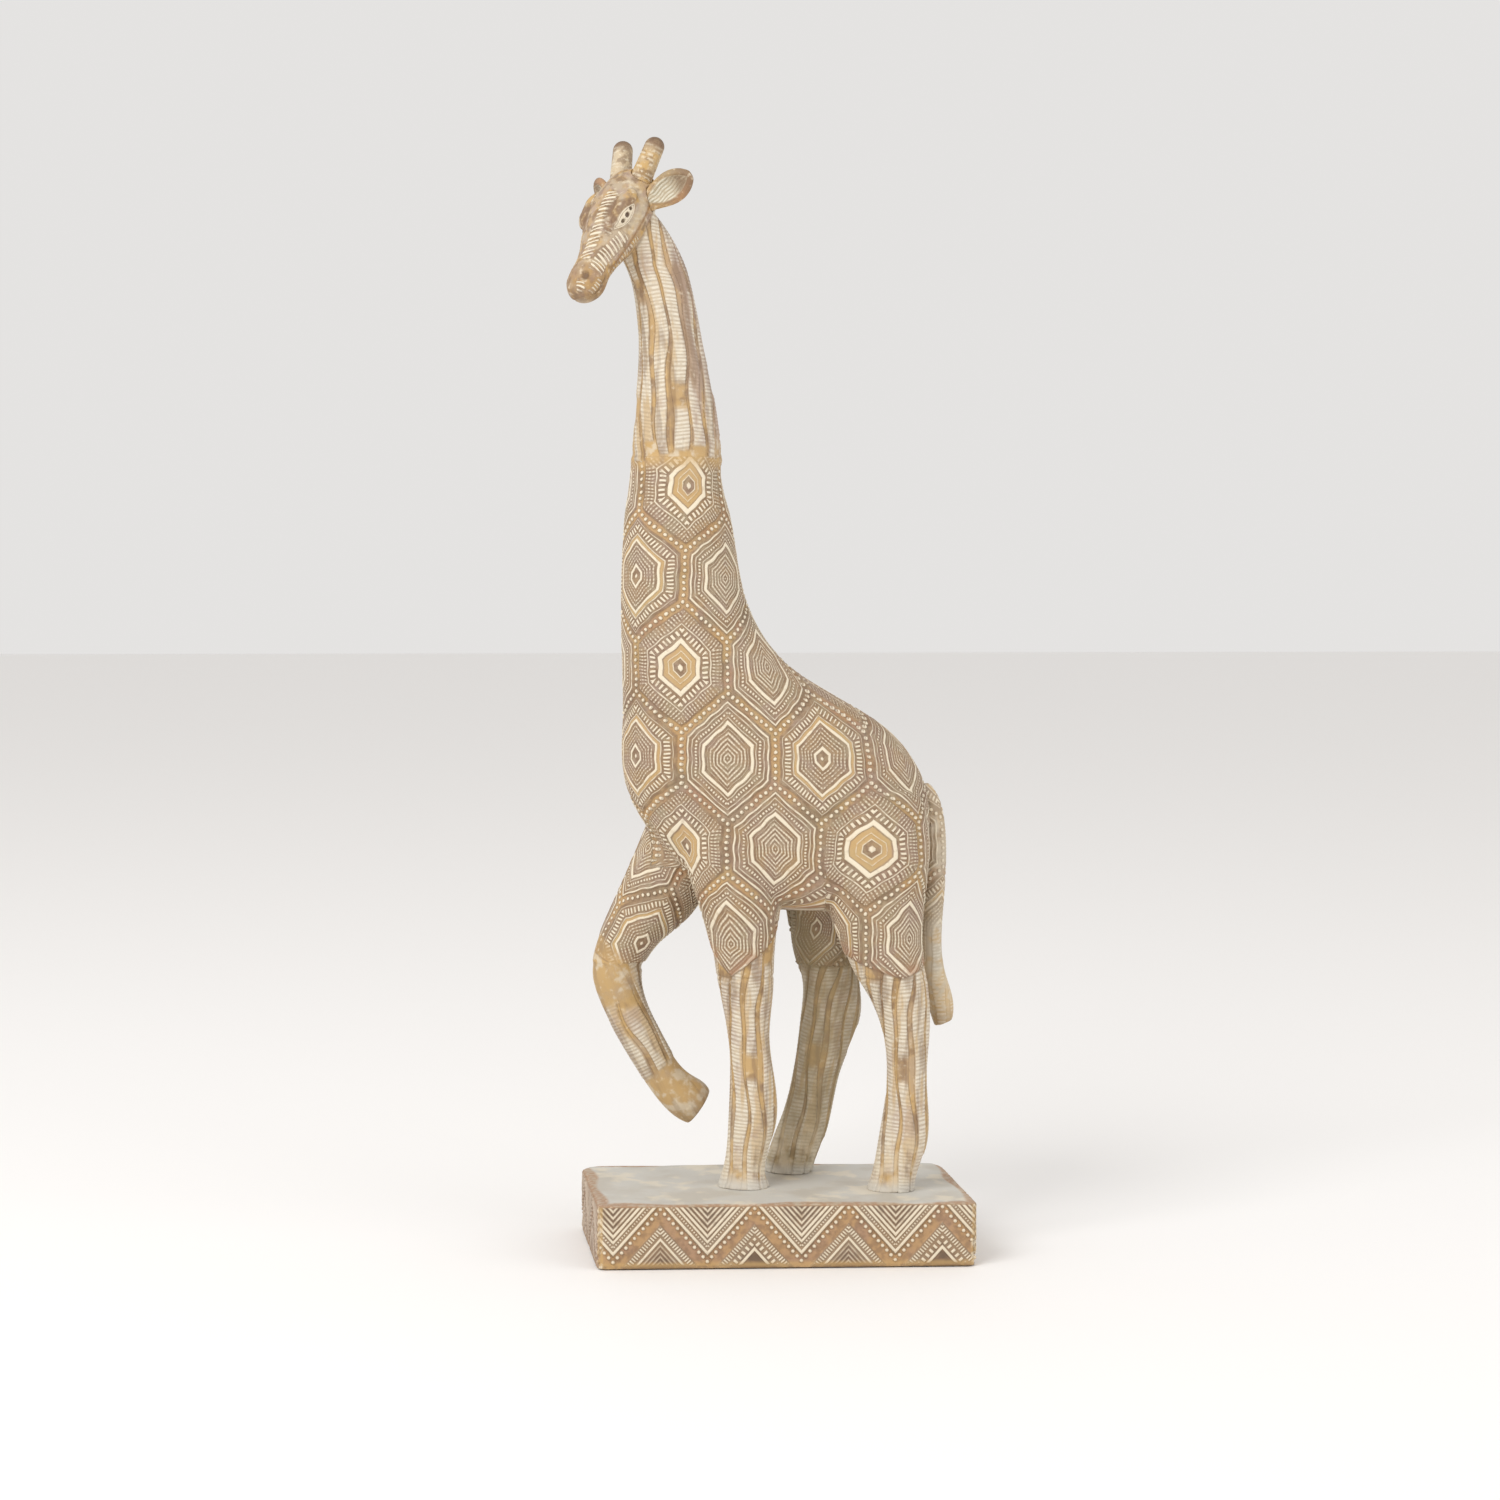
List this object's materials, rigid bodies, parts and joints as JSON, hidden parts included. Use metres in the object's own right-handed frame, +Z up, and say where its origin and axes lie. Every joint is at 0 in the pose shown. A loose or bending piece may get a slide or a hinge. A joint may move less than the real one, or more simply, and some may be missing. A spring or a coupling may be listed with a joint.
{
  "type": "giraffe figurine",
  "caption": "Standing giraffe figurine with carved-look hexagon and bark relief, one foreleg raised and its head turned, on a rectangular plinth with a chevron band.",
  "frame": {"origin": "centre of the felt face that rests on the shelf, under the middle of the plinth", "axes": "+Z up; the giraffe looks towards -X, its left side is towards -Y"},
  "size_m": [0.1125, 0.055, 0.3114],
  "materials": {
    "plinth_resin": "painted resin, brown wash with rubbed white relief",
    "patterned_resin": "painted resin, brown grooves and rubbed cream hexagon relief",
    "bark_resin": "painted resin, ochre lanes and rubbed cream hatching",
    "head_resin": "painted resin, ochre and brown with cream hatching",
    "steel": "drawn steel rod",
    "felt": "dark brown felt"
  },
  "bodies": {
    "root": {"plinth": "plinth_resin", "felt_sheet": "felt", "body_casting": "patterned_resin", "upper_neck": "bark_resin", "head": "head_resin", "ear_left": "head_resin", "ear_right": "head_resin", "ossicone_left": "head_resin", "ossicone_right": "head_resin", "foreleg_left_lower": "bark_resin", "foreleg_right_lower": "bark_resin", "hindleg_left_lower": "bark_resin", "hindleg_right_lower": "bark_resin", "tail": "bark_resin", "foreleg_left_rod": "steel", "hindleg_left_rod": "steel", "hindleg_right_rod": "steel", "foreleg_right_pin": "steel", "neck_pin": "steel", "head_pin": "steel", "tail_pin": "steel", "ossicone_left_pin": "steel", "ossicone_right_pin": "steel", "ear_left_pin": "steel", "ear_right_pin": "steel"}
  },
  "joints": []
}
